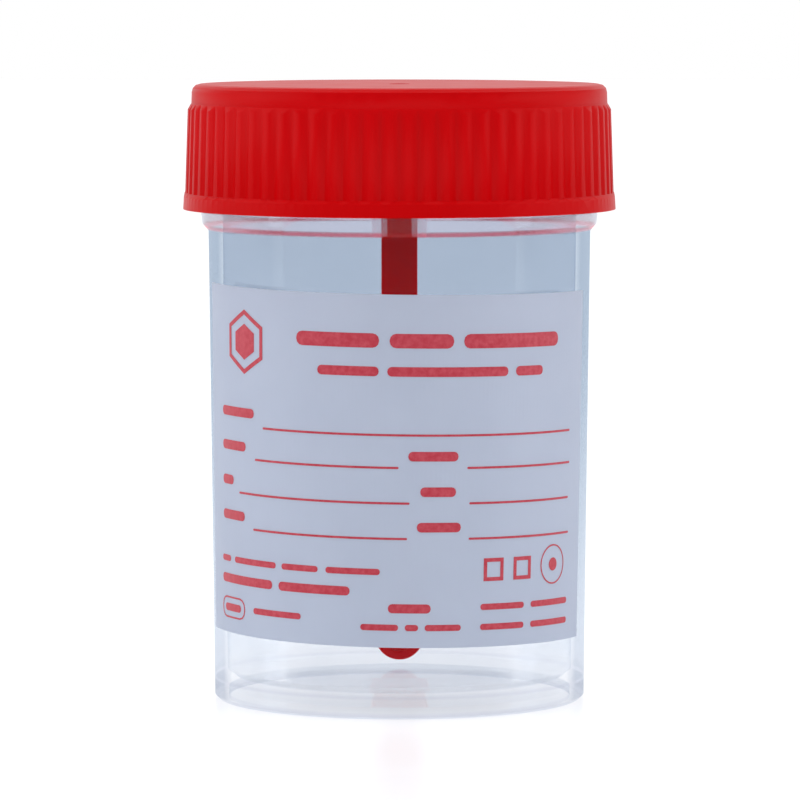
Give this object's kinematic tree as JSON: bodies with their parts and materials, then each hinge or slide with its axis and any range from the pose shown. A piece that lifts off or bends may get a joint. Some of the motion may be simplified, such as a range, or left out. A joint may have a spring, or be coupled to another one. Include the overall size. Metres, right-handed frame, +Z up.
{
  "type": "specimen container",
  "caption": "Clear straight-sided screw-neck cup with a ribbed screw cap, a spoon hanging inside from the cap, and a write-on label round the front.",
  "frame": {"origin": "middle of the underside of the foot ring, in the plane that the container stands on", "axes": "+Z up along the axis of the cup and the cap; -Y is the front, where the middle of the label is; +X is to the right seen from the front"},
  "size_m": [0.0462, 0.0462, 0.0657],
  "materials": {
    "clear_plastic": "clear moulded polystyrene, glossy",
    "red_cap_plastic": "red moulded polyethylene, satin gloss",
    "red_spoon_plastic": "red moulded polypropylene, satin gloss",
    "label_paper": "coated self-adhesive paper, printed in dark red"
  },
  "bodies": {
    "cup": {"cup": "clear_plastic", "label": "label_paper"},
    "cap": {"cap": "red_cap_plastic", "spoon": "red_spoon_plastic"}
  },
  "joints": [
    {"name": "cap_lift", "type": "slide", "parent": "cup", "child": "cap", "axis": [0, 0, 1], "range_m": [0, 0.072]}
  ]
}
